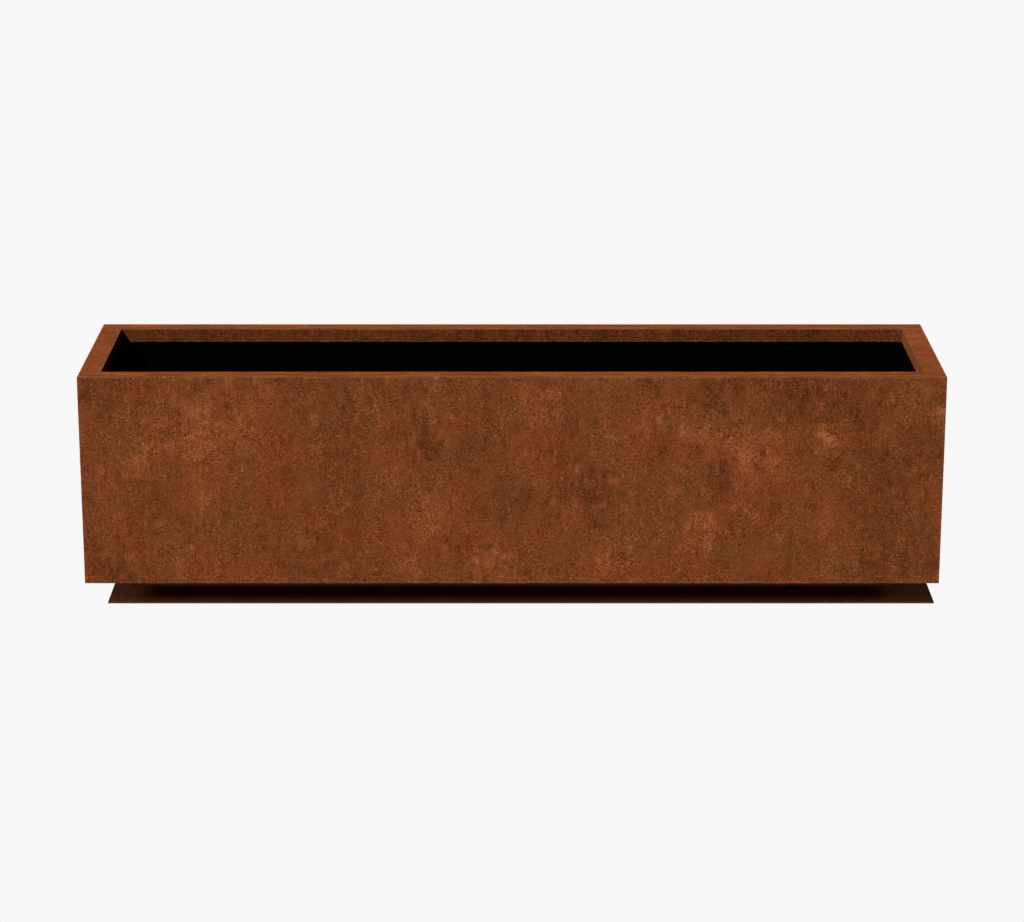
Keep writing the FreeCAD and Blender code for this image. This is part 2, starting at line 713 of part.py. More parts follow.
wall_x = value(WALL_X)
wall_y = value(WALL_Y)
angle_stud = value("angle_stud")
foot_middle = value("stiffener_crown / 2 + stiffener_foot / 2")
tie_x = value("tie_spacing / 2")
wall_points = []
for height in stud_heights:
    for inward_y in (-1, 1):
        for along in (-1, 1):
            at_corner = along * (wall_x - angle_stud)
            feet = [along * tie_x - foot_middle, along * tie_x + foot_middle]
            for x in [at_corner] + feet:
                wall_points.append(((x, -inward_y * wall_y, height), (0, inward_y, 0)))
    for inward_x in (-1, 1):
        for along in (-1, 1):
            wall_points.append(((-inward_x * wall_x, along * (wall_y - angle_stud), height), (inward_x, 0, 0)))


def stepped(point, direction, distance):
    """The point moved along direction."""
    return tuple(start + part * distance for start, part in zip(point, direction))


sheet_thickness = value("sheet")
nut_seat = sheet_thickness + washer_height
group("wall_studs", wall_stud, [facing(point, way) for point, way in wall_points])
group(
    "wall_stud_washers",
    small_washer,
    [facing(stepped(point, way, sheet_thickness), way) for point, way in wall_points],
)
group(
    "wall_stud_nuts",
    small_nut,
    [facing(stepped(point, way, nut_seat), way) for point, way in wall_points],
)

tie_face = value(TIE_FACE)
crown_back = value(f"{WALL_Y} - pocket_depth + sheet")
liner_face = value(TIE_END)
tie_bolt_places = []
tie_washer_places = []
tie_nut_places = []
rivet_places = []
for along in (-1, 1):
    for inward in (-1, 1):
        for height in tie_bolt_heights:
            x = along * tie_x
            z = value(height)
            tie_washer_places.append(facing((x, -inward * tie_face, z), (0, inward, 0)))
            tie_bolt_places.append(facing((x, -inward * (tie_face - washer_height), z), (0, inward, 0)))
            tie_nut_places.append(facing((x, -inward * crown_back, z), (0, -inward, 0)))
        for height in rivet_heights:
            point = (along * tie_x, -inward * liner_face, value(height))
            rivet_places.append(facing(point, (0, inward, 0)))
group("tie_bolts", tie_bolt, tie_bolt_places)
group("tie_bolt_washers", washer, tie_washer_places)
group("tie_bolt_nuts", nut, tie_nut_places)
group("liner_rivets", rivet, rivet_places)


# ---------------------------------------------------------------- test and write
doc.recompute()
for item in doc.Objects:
    if "Invalid" in item.State or "Error" in item.State:
        raise RuntimeError(f"{item.Name} did not build: {item.State}")
labels = [item.Label for item in nodes]
if len(set(labels)) != len(labels):
    raise RuntimeError("two sub-parts share a name")
for item in nodes:
    if item.Shape.isNull() or not item.Shape.isValid():
        raise RuntimeError(f"{item.Label} has no valid shape")
    item.Shape.exportStep(f"parts/{item.Label}.step")
    box = item.Shape.BoundBox
    print(f"{item.Label}: {len(item.Shape.Solids)} solids, z {box.ZMin:.1f} to {box.ZMax:.1f}")
print(f"{len(nodes)} sub-parts")
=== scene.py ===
"""Weathering-steel planter box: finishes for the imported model, with its stage and camera."""

import math

import bpy
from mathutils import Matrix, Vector


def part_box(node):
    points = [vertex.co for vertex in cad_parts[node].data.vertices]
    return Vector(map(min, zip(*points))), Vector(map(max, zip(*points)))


bl_info = {
    "name": "Steel Planter Box",
    "version": (1, 0, 0),
    "blender": (4, 5, 0),
    "location": "View3D > Sidebar > Planter",
    "description": "Finishes a weathering-steel planter box and sets up its stage",
    "category": "Object",
}

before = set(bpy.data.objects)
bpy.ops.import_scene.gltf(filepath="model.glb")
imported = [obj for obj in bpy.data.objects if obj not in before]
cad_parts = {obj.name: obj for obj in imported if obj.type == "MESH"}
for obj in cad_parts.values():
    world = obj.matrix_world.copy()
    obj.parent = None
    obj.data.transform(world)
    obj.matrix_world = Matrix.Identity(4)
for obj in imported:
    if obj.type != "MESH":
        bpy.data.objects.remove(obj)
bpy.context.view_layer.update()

# ---------------------------------------------------------------- places read from the frame
PANELS = ("front_panel", "back_panel", "left_panel", "right_panel")
SHELL_LOW = Vector([min(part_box(node)[0][axis] for node in PANELS) for axis in range(3)])
SHELL_HIGH = Vector([max(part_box(node)[1][axis] for node in PANELS) for axis in range(3)])
SHELL_CENTRE = (SHELL_LOW + SHELL_HIGH) / 2
SHELL_HALF = (SHELL_HIGH - SHELL_LOW) / 2


def nodes_named(*starts):
    """The frame's objects whose names start with any of the given words."""
    return [item for name, item in sorted(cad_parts.items()) if name.startswith(starts)]


# ---------------------------------------------------------------- node tree helpers
class Tree:
    """Adds nodes to a tree and links them; the methods from math to mix return an output socket."""

    def __init__(self, tree):
        self.tree = tree

    def node(self, kind, **settings):
        item = self.tree.nodes.new(kind)
        for name, setting in settings.items():
            setattr(item, name, setting)
        return item

    def put(self, socket, source):
        """Link a socket, or set its value when source is a number, colour or vector."""
        if isinstance(source, bpy.types.NodeSocket):
            self.tree.links.new(source, socket)
        else:
            socket.default_value = source

    def math(self, operation, first, second):
        item = self.node("ShaderNodeMath", operation=operation)
        self.put(item.inputs[0], first)
        self.put(item.inputs[1], second)
        return item.outputs[0]

    def total(self, first, *others):
        for other in others:
            first = self.math("ADD", first, other)
        return first

    def product(self, first, *others):
        for other in others:
            first = self.math("MULTIPLY", first, other)
        return first

    def swing(self, source, weight):
        """How far a field is from one half, times a weight."""
        return self.product(self.math("SUBTRACT", source, 0.5), weight)

    def vector(self, operation, first, second=None):
        item = self.node("ShaderNodeVectorMath", operation=operation)
        self.put(item.inputs[0], first)
        if second is not None:
            self.put(item.inputs[1], second)
        return item.outputs["Value" if operation == "DISTANCE" else "Vector"]

    def noise(self, place, scale, detail, roughness, distortion=0.0):
        item = self.node("ShaderNodeTexNoise")
        self.put(item.inputs["Vector"], place)
        self.put(item.inputs["Scale"], scale)
        self.put(item.inputs["Detail"], detail)
        self.put(item.inputs["Roughness"], roughness)
        self.put(item.inputs["Distortion"], distortion)
        return item.outputs["Fac"]

    def cells(self, place, scale, result="Distance"):
        item = self.node("ShaderNodeTexVoronoi", feature="F1")
        self.put(item.inputs["Vector"], place)
        self.put(item.inputs["Scale"], scale)
        return item.outputs[result]

    def spread(self, source, span, result=(0.0, 1.0), smooth=True):
        """Map the span (from, to) of a source to the result (from, to) and hold the ends."""
        kind = "SMOOTHSTEP" if smooth else "LINEAR"
        item = self.node("ShaderNodeMapRange", interpolation_type=kind)
        names = ("Value", "From Min", "From Max", "To Min", "To Max")
        for name, setting in zip(names, (source, *span, *result)):
            self.put(item.inputs[name], setting)
        return item.outputs["Result"]

    def mix(self, amount, first, second, blend="MIX"):
        """Mix two colours."""
        item = self.node("ShaderNodeMix", data_type="RGBA", blend_type=blend)
        self.put(item.inputs["Factor"], amount)
        colours = [socket for socket in item.inputs if socket.type == "RGBA"]
        self.put(colours[0], first)
        self.put(colours[1], second)
        return next(socket for socket in item.outputs if socket.type == "RGBA")

    def blend(self, amount, first, second):
        """Mix two numbers."""
        item = self.node("ShaderNodeMix", data_type="FLOAT")
        for socket, source in zip(item.inputs[:1] + item.inputs[2:4], (amount, first, second)):
            self.put(socket, source)
        return item.outputs[0]


def rgba(colour, shade=1.0):
    """A colour with full alpha, darkened by a shade below one."""
    return tuple(part * shade for part in colour) + (1.0,)


def grey(level):
    return rgba((level, level, level))


def node_group(name, inputs, outputs):
    """A shader node group with named sockets: (group, Tree, its given values, its results)."""
    group = bpy.data.node_groups.new(name, "ShaderNodeTree")
    for label, kind, default in inputs:
        socket = group.interface.new_socket(name=label, in_out="INPUT", socket_type=kind)
        if default is not None:
            socket.default_value = default
    for label, kind in outputs:
        group.interface.new_socket(name=label, in_out="OUTPUT", socket_type=kind)
    tree = Tree(group)
    entry = tree.node("NodeGroupInput")
    leave = tree.node("NodeGroupOutput")
    return group, tree, entry.outputs, leave.inputs


def placed(tree, group, **values):
    """Put a group into a tree and set or link its inputs; underscores stand for spaces."""
    item = tree.node("ShaderNodeGroup", node_tree=group)
    for name, source in values.items():
        tree.put(item.inputs[name.replace("_", " ")], source)
    return item.outputs


FLOAT = "NodeSocketFloat"
VECTOR = "NodeSocketVector"
COLOUR = "NodeSocketColor"

# ---------------------------------------------------------------- shared effects
# fields that must not look alike read the same noise at places set apart by these steps, in metres
LIGHT_SCABS_STEP = (4.7, 0.6, 2.2)
DARK_SCABS_STEP = (0.8, 6.4, 3.9)
LOOSE_STEP = (3.1, 1.7, 5.3)
HUE_STEP = (7.7, 2.9, 4.1)
CRUMBS_STEP = (1.3, 2.7, 0.9)

# the clouds are a little longer upwards than sideways, because the rust grows under running water
CLOUD_STRETCH = (1.15, 1.15, 0.85)
# how strong the grain is, from tight brown areas to loose ones
GRAIN_STRENGTH = (0.6, 1.3)
# where a noise field turns into a scab, and where the scab has its stronger core
SCAB_BORDER = (0.54, 0.565)
SCAB_CORE = (0.59, 0.62)
CORE_WEIGHT = 1.4
# how far the speckled areas fade in and out
COVER_FADE = 0.08
REDDER = (1.08, 0.92, 0.84, 1.0)
YELLOWER = (0.93, 1.07, 1.05, 1.0)


def make_cloud_group():
    """Ragged clouds and fine grain of rust, as a tone around one half."""
    group, tree, given, out = node_group(
        "Rust Clouds",
        [
            ("Place", VECTOR, None),
            ("Cloud Scale", FLOAT, 6.0),
            ("Scab Scale", FLOAT, 26.0),
            ("Grain Scale", FLOAT, 200.0),
            ("Cloud Weight", FLOAT, 1.0),
            ("Scab Weight", FLOAT, 0.06),
            ("Grain Weight", FLOAT, 1.5),
        ],
        [("Tone", FLOAT), ("Loose", FLOAT), ("Relief", FLOAT)],
    )
    place = given["Place"]
    upright = tree.vector("MULTIPLY", place, CLOUD_STRETCH)
    clouds = tree.noise(upright, given["Cloud Scale"], detail=6.0, roughness=0.95, distortion=0.15)
    grain = tree.noise(place, given["Grain Scale"], detail=1.0, roughness=0.8)
    # scabs: ragged flat patches with clear borders and a stronger core, some lighter, some darker
    scabs = []
    for step in (LIGHT_SCABS_STEP, DARK_SCABS_STEP):
        scab_place = tree.vector("ADD", upright, step)
        field = tree.noise(scab_place, given["Scab Scale"], detail=6.0, roughness=0.8, distortion=0.5)
        core = tree.product(tree.spread(field, SCAB_CORE), CORE_WEIGHT)
        scabs.append(tree.total(tree.spread(field, SCAB_BORDER), core))
    scabs = tree.product(tree.math("SUBTRACT", *scabs), given["Scab Weight"])
    loose_place = tree.vector("ADD", place, LOOSE_STEP)
    loose_field = tree.noise(loose_place, 11.0, detail=6.0, roughness=0.8)
    loose = tree.spread(loose_field, (0.40, 0.60), GRAIN_STRENGTH)
    rough_grain = tree.swing(grain, loose)
    soft = tree.swing(clouds, given["Cloud Weight"])
    fine = tree.product(rough_grain, given["Grain Weight"])
    tree.put(out["Tone"], tree.total(soft, fine, scabs, 0.5))
    tree.put(out["Loose"], loose)
    tree.put(out["Relief"], tree.total(tree.product(clouds, 2.0), rough_grain))
    return group


def make_rust_colour_group():
    """Turns a tone into rust colours, with redder and yellower areas."""
    group, tree, given, out = node_group(
        "Rust Colour",
        [
            ("Place", VECTOR, None),
            ("Tone", FLOAT, 0.5),
            ("Dark", COLOUR, None),
            ("Brown", COLOUR, None),
            ("Orange", COLOUR, None),
            ("Light", COLOUR, None),
            ("Hue Change", FLOAT, 0.5),
        ],
        [("Colour", COLOUR)],
    )
    full = given["Dark"]
    for span, lighter in (((0.0, 0.33), "Brown"), ((0.33, 0.67), "Orange"), ((0.67, 1.0), "Light")):
        full = tree.mix(tree.spread(given["Tone"], span, smooth=False), full, given[lighter])
    hue_place = tree.vector("ADD", given["Place"], HUE_STEP)
    hue = tree.spread(tree.noise(hue_place, 9.0, detail=6.0, roughness=0.8), (0.38, 0.62))
    redder = tree.mix(given["Hue Change"], full, REDDER, "MULTIPLY")
    yellower = tree.mix(given["Hue Change"], full, YELLOWER, "MULTIPLY")
    tree.put(out["Colour"], tree.mix(hue, yellower, redder))
    return group


def make_streak_group():
    """Faint run marks: noise drawn out along one axis."""
    group, tree, given, out = node_group(
        "Run Marks",
        [("Place", VECTOR, None), ("Stretch", VECTOR, (60.0, 60.0, 3.0))],
        [("Marks", FLOAT)],
    )
    drawn = tree.vector("MULTIPLY", given["Place"], given["Stretch"])
    tree.put(out["Marks"], tree.noise(drawn, 1.0, detail=4.0, roughness=0.7, distortion=0.2))
    return group


def make_edge_group():
    """One at the outer edges of an upright box, falling to zero within a given width."""
    group, tree, given, out = node_group(
        "Edge Wear",
        [
            ("Place", VECTOR, None),
            ("Centre", VECTOR, None),
            ("Half Size", VECTOR, None),
            ("Width", FLOAT, 0.01),
        ],
        [("Edge", FLOAT)],
    )
    away = tree.vector("ABSOLUTE", tree.vector("SUBTRACT", given["Place"], given["Centre"]))
    depth = tree.node("ShaderNodeSeparateXYZ")
    tree.put(depth.inputs[0], tree.vector("SUBTRACT", given["Half Size"], away))
    x, y, z = depth.outputs
    lower = tree.math("MINIMUM", x, y)
    upper = tree.math("MAXIMUM", x, y)
    nearest_edge = tree.math("MAXIMUM", lower, tree.math("MINIMUM", upper, z))
    ragged = tree.noise(given["Place"], 60.0, detail=4.0, roughness=0.6)
    reach = tree.total(nearest_edge, tree.product(ragged, given["Width"]))
    end = tree.product(given["Width"], 1.5)
    tree.put(out["Edge"], tree.spread(reach, (given["Width"], end), (1.0, 0.0)))
    return group


def make_patch_group():
    """A ragged patch around one point, broken up like the rust it lies in."""
    group, tree, given, out = node_group(
        "Weather Patch",
        [
            ("Place", VECTOR, None),
            ("Middle", VECTOR, None),
            ("Radius", FLOAT, 0.1),
            ("Strength", FLOAT, 0.1),
        ],
        [("Amount", FLOAT)],
    )
    away = tree.vector("DISTANCE", given["Place"], given["Middle"])
    share = tree.math("DIVIDE", away, given["Radius"])
    ragged_scale = tree.math("DIVIDE", 1.3, given["Radius"])
    ragged = tree.noise(given["Place"], ragged_scale, detail=8.0, roughness=0.85)
    reach = tree.total(share, tree.swing(ragged, 3.0))
    tree.put(out["Amount"], tree.spread(reach, (0.2, 1.0), (given["Strength"], 0.0)))
    return group


def make_speckle_group():
    """Scattered small marks, such as pits, crumbs or dust."""
    group, tree, given, out = node_group(
        "Speckle",
        [("Place", VECTOR, None), ("Scale", FLOAT, 200.0), ("Size", FLOAT, 0.3), ("Cover", FLOAT, 0.5)],
        [("Spots", FLOAT)],
    )
    cell = tree.cells(given["Place"], given["Scale"])
    spot = tree.spread(cell, (tree.product(given["Size"], 0.5), given["Size"]), (1.0, 0.0))
    field = tree.noise(given["Place"], tree.product(given["Scale"], 0.12), detail=4.0, roughness=0.6)
    border = tree.math("SUBTRACT", 1.0, given["Cover"])
    fade = (tree.math("SUBTRACT", border, COVER_FADE), tree.total(border, COVER_FADE))
    here = tree.spread(field, fade)
    tree.put(out["Spots"], tree.product(spot, here))
    return group


GROUP_MAKERS = {
    "clouds": make_cloud_group,
    "colour": make_rust_colour_group,
    "streaks": make_streak_group,
    "edge": make_edge_group,
    "patch": make_patch_group,
    "speckle": make_speckle_group,
}
groups = {}


def shared(name):
    """The named effect, made once."""
    if name not in groups:
        groups[name] = GROUP_MAKERS[name]()
    return groups[name]


def new_material(name, roughness, metallic=0.0, specular=0.5):
    """A material with its Principled BSDF: (material, Tree, shader inputs, place socket)."""
    material = bpy.data.materials.new(name)
    material.use_nodes = True
    shader = material.node_tree.nodes["Principled BSDF"]
    shader.inputs["Roughness"].default_value = roughness
    shader.inputs["Metallic"].default_value = metallic
    shader.inputs["Specular IOR Level"].default_value = specular
    tree = Tree(material.node_tree)
    place = tree.node("ShaderNodeTexCoord").outputs["Object"]
    return material, tree, shader.inputs, place


def bumped(tree, shader, height, strength, depth):
    """Feed a height to the shader's normal through a Bump node; depth is in metres."""
    bump = tree.node("ShaderNodeBump")
    bump.inputs["Strength"].default_value = strength
    bump.inputs["Distance"].default_value = depth
    tree.put(bump.inputs["Height"], height)
    tree.put(shader["Normal"], bump.outputs["Normal"])


def rust_colour(tree, place, tone, look, shade=1.0, **values):
    """The look's four rust colours for a tone, darkened by a shade below one."""
    return placed(
        tree,
        shared("colour"),
        Place=place,
        Tone=tone,
        Dark=rgba(look.dark, shade),
        Brown=rgba(look.brown, shade),
        Orange=rgba(look.orange, shade),
        Light=rgba(look.light, shade),
        **values,
    )["Colour"]


# ---------------------------------------------------------------- materials
# run marks per metre along each axis: long ones down the walls, finer ones along the rim
WALL_RUNS = (66.0, 66.0, 9.0)
RIM_RUNS = (6.0, 160.0, 160.0)
LINER_SCUFFS = (9.0, 9.0, 220.0)
# a face counts as flat as the upright part of its normal passes through these values
FLAT_FACING = (0.6, 0.9)
RUBBED_EDGE_TONE = 0.05
PITS = {"Scale": 165.0, "Size": 0.36, "Cover": 0.46}
CRUMBS = {"Scale": 190.0, "Size": 0.34, "Cover": 0.42}
DUST = {"Scale": 160.0, "Size": 0.5, "Cover": 0.4}

# patches of the front wall, in metres: (x, height above the ground), radius, change of tone
FRONT_PATCHES = (
    ((-0.77, 0.40), 0.17, 0.11),
    ((-0.88, 0.34), 0.05, 0.10),
    ((-0.64, 0.45), 0.11, 0.06),
    ((-0.57, 0.32), 0.12, 0.06),
    ((-0.95, 0.07), 0.11, -0.09),
    ((-0.95, 0.54), 0.11, -0.09),
    ((-0.31, 0.46), 0.05, 0.10),
    ((-0.21, 0.40), 0.07, -0.12),
    ((-0.17, 0.20), 0.09, 0.08),
    ((-0.05, 0.11), 0.08, 0.12),
    ((0.01, 0.25), 0.09, -0.08),
    ((0.05, 0.47), 0.10, 0.10),
    ((0.20, 0.12), 0.06, 0.11),
    ((0.20, 0.27), 0.08, -0.09),
    ((0.33, 0.45), 0.06, 0.11),
    ((0.44, 0.41), 0.09, 0.13),
    ((0.45, 0.17), 0.09, 0.10),
    ((0.48, 0.51), 0.07, -0.13),
    ((0.49, 0.31), 0.05, -0.08),
    ((0.56, 0.37), 0.11, 0.13),
    ((0.66, 0.54), 0.15, -0.15),
    ((0.73, 0.40), 0.05, 0.20),
    ((0.78, 0.47), 0.08, -0.09),
    ((0.92, 0.34), 0.13, -0.08),
    ((0.99, 0.46), 0.03, 0.16),
    ((0.88, 0.14), 0.15, -0.10),
)


def patch_tone(tree, place, patches):
    """The change of tone that the patches bring, broken into flakes with clear borders."""
    field = tree.noise(place, 34.0, detail=7.0, roughness=0.8, distortion=0.4)
    flakes = tree.spread(field, (0.46, 0.53), (0.25, 1.6))
    change = 0.0
    for (x, z), radius, strength in patches:
        middle = (x, SHELL_LOW.y, z)
        patch = placed(tree, shared("patch"), Place=place, Middle=middle, Radius=radius, Strength=strength)
        change = tree.total(patch["Amount"], change)
    return tree.product(change, flakes)


def rim_skin(tree, place, cloud_tone, look):
    """Tone of the flat rim: a smoother skin, drawn out along the length of the box."""
    brushed = placed(tree, shared("streaks"), Place=place, Stretch=RIM_RUNS)["Marks"]
    return tree.total(tree.swing(brushed, 1.5), tree.swing(cloud_tone, 0.7), look.rim_tone)


def weathering_steel(name, look, patches=()):
    """Rusted sheet: clouds, grain, run marks, a calmer rim, lighter edges, pits and crumbs."""
    material, tree, shader, place = new_material(name, 0.85, specular=look.rust_specular)
    facing = tree.node("ShaderNodeSeparateXYZ")
    normal = tree.node("ShaderNodeNewGeometry").outputs["True Normal"]
    tree.put(facing.inputs[0], tree.vector("ABSOLUTE", normal))
    on_flat = tree.spread(facing.outputs["Z"], FLAT_FACING)

    clouds = placed(
        tree,
        shared("clouds"),
        Place=place,
        Cloud_Scale=1.0 / look.cloud_size,
        Scab_Scale=1.0 / look.scab_size,
        Grain_Scale=1.0 / look.grain_size,
        Cloud_Weight=look.cloud_weight,
        Scab_Weight=look.scab_weight,
        Grain_Weight=look.grain_weight,
    )
    wall_tone = clouds["Tone"]
    if patches:
        wall_tone = tree.total(wall_tone, patch_tone(tree, place, patches))
    runs = placed(tree, shared("streaks"), Place=place, Stretch=WALL_RUNS)["Marks"]
    wall_tone = tree.total(wall_tone, tree.swing(runs, look.run_weight))
    edge = placed(
        tree,
        shared("edge"),
        Place=place,
        Centre=tuple(SHELL_CENTRE),
        Half_Size=tuple(SHELL_HALF),
        Width=look.edge_width,
    )["Edge"]
    skin_tone = tree.blend(on_flat, wall_tone, rim_skin(tree, place, clouds["Tone"], look))
    tone = tree.total(skin_tone, tree.product(edge, RUBBED_EDGE_TONE))
    colour = rust_colour(tree, place, tone, look, Hue_Change=look.hue_change)

    # dark pits and light crumbs, thickest where the rust is loose and faint on the rim
    off_rim = tree.math("SUBTRACT", 1.0, tree.product(on_flat, 0.8))
    looseness = tree.spread(clouds["Loose"], GRAIN_STRENGTH)
    amount = tree.product(tree.total(tree.product(looseness, 0.8), 0.2), off_rim)
    pits = placed(tree, shared("speckle"), Place=place, **PITS)["Spots"]
    crumb_place = tree.vector("ADD", place, CRUMBS_STEP)
    crumbs = placed(tree, shared("speckle"), Place=crumb_place, **CRUMBS)["Spots"]
    pitted = tree.mix(tree.product(pits, amount, look.pit_weight), colour, rgba(look.dark))
    crumbled = tree.mix(tree.product(crumbs, amount, look.crumb_weight), pitted, rgba(look.light))
    tree.put(shader["Base Color"], crumbled)
    tree.put(shader["Roughness"], tree.spread(tone, (0.2, 0.8), (0.82, 0.96), smooth=False))
    crusts = tree.product(tree.math("SUBTRACT", crumbs, pits), 0.5)
    relief = tree.product(tree.total(clouds["Relief"], crusts), off_rim)
    bumped(tree, shader, relief, look.relief_strength, look.relief_depth)
    return material


def base_steel(look):
    """The flatter rust of the plinth and the base plate, its colour darkened as painted shade under the box
    above.
    """
    material, tree, shader, place = new_material("base_steel", 0.9, specular=0.2)
    clouds = placed(tree, shared("clouds"), Place=place, Cloud_Weight=0.7, Grain_Weight=0.5)
    # the base's colour is darkened here: painted shade of the box that overhangs the plinth and plate
    tree.put(shader["Base Color"], rust_colour(tree, place, clouds["Tone"], look, look.base_painted_shade))
    tree.put(shader["Roughness"], tree.spread(clouds["Tone"], (0.2, 0.8), (0.8, 0.95)))
    bumped(tree, shader, clouds["Relief"], strength=0.4, depth=0.001)
    return material


# black coat, its near-black partly painted shade of the deep inside of the box
COAT_BLACK_AND_SHADE = (0.012, 0.012, 0.013, 1.0)
COAT_WORN = (0.026, 0.024, 0.023, 1.0)
COAT_DUST = (0.06, 0.052, 0.045, 1.0)
# painted shade: the liner colours, far darker than any plastic, stand for the deep shade inside the box
LINER_PAINTED_SHADE = (0.0016, 0.0011, 0.0010, 1.0)
LINER_SCUFFED_PAINTED_SHADE = (0.0030, 0.0023, 0.0020, 1.0)
ZINC_DARK = (0.36, 0.38, 0.39, 1.0)
ZINC_LIGHT = (0.56, 0.58, 0.59, 1.0)
PLATED_CLEAN = (0.50, 0.50, 0.48, 1.0)
PLATED_STAINED = (0.20, 0.15, 0.11, 1.0)


def black_coat_and_shade():
    """Black bituminous coat on steel, kept this dark partly as painted shade of the deep inside of the box:
    dull, slightly lumpy, dusty in places.
    """
    material, tree, shader, place = new_material("black_coated_steel", 0.7, specular=0.25)
    lumps = tree.noise(place, 90.0, detail=5.0, roughness=0.6)
    dust = placed(tree, shared("speckle"), Place=place, **DUST)["Spots"]
    worn = tree.spread(tree.noise(place, 6.0, detail=5.0, roughness=0.6), (0.4, 0.7))
    shade = tree.mix(worn, COAT_BLACK_AND_SHADE, COAT_WORN)
    tree.put(shader["Base Color"], tree.mix(tree.product(dust, 0.35), shade, COAT_DUST))
    tree.put(shader["Roughness"], tree.spread(lumps, (0.3, 0.7), (0.5, 0.8)))
    bumped(tree, shader, lumps, strength=0.35, depth=0.0012)
    return material


def liner_board():
    """Near-black painted shade of the deep inside of the box, darker than real plastic, with a fine matt
    grain and long scuffs.
    """
    material, tree, shader, place = new_material("liner_board", 0.9, specular=0.02)
    scuffs = placed(tree, shared("streaks"), Place=place, Stretch=LINER_SCUFFS)["Marks"]
    scuffed = tree.spread(scuffs, (0.62, 0.75))
    tree.put(shader["Base Color"], tree.mix(scuffed, LINER_PAINTED_SHADE, LINER_SCUFFED_PAINTED_SHADE))
    tree.put(shader["Roughness"], tree.spread(scuffs, (0.3, 0.8), (0.88, 0.7)))
    grain = tree.noise(place, 700.0, detail=2.0, roughness=0.5)
    bumped(tree, shader, grain, strength=0.2, depth=0.0004)
    return material


def galvanised_steel():
    """Zinc coat with its crystal pattern."""
    material, tree, shader, place = new_material("galvanised_steel", 0.45, metallic=0.85)
    tint = tree.node("ShaderNodeSeparateColor")
    tree.put(tint.inputs[0], tree.cells(place, 85.0, "Color"))
    crystal = tint.outputs[0]
    tree.put(shader["Base Color"], tree.mix(crystal, ZINC_DARK, ZINC_LIGHT))
    tree.put(shader["Roughness"], tree.spread(crystal, (0.0, 1.0), (0.35, 0.6)))
    bumped(tree, shader, crystal, strength=0.1, depth=0.0004)
    return material


def fastener_steel():
    """Zinc-plated bolts and nuts, dulled by damp soil."""
    material, tree, shader, place = new_material("fastener_steel", 0.4, metallic=0.9)
    stain = tree.spread(tree.noise(place, 150.0, detail=5.0, roughness=0.65), (0.42, 0.66))
    tree.put(shader["Base Color"], tree.mix(stain, PLATED_CLEAN, PLATED_STAINED))
    tree.put(shader["Roughness"], tree.spread(stain, (0.0, 1.0), (0.32, 0.65)))
    grain = tree.noise(place, 900.0, detail=3.0, roughness=0.6)
    bumped(tree, shader, grain, strength=0.15, depth=0.0003)
    return material


def moulded_black(name, low, high, roughness):
    """Moulded black plastic or rubber with a fine grain and a thin pale film."""
    material, tree, shader, place = new_material(name, roughness, specular=0.35)
    film = tree.spread(tree.noise(place, 45.0, detail=5.0, roughness=0.6), (0.4, 0.7))
    filmed = (high, high * 0.97, high * 0.93, 1.0)
    tree.put(shader["Base Color"], tree.mix(film, grey(low), filmed))
    tree.put(shader["Roughness"], tree.spread(film, (0.0, 1.0), (roughness - 0.1, roughness + 0.1)))
    grain = tree.noise(place, 600.0, detail=3.0, roughness=0.6)
    bumped(tree, shader, grain, strength=0.25, depth=0.0003)
    return material


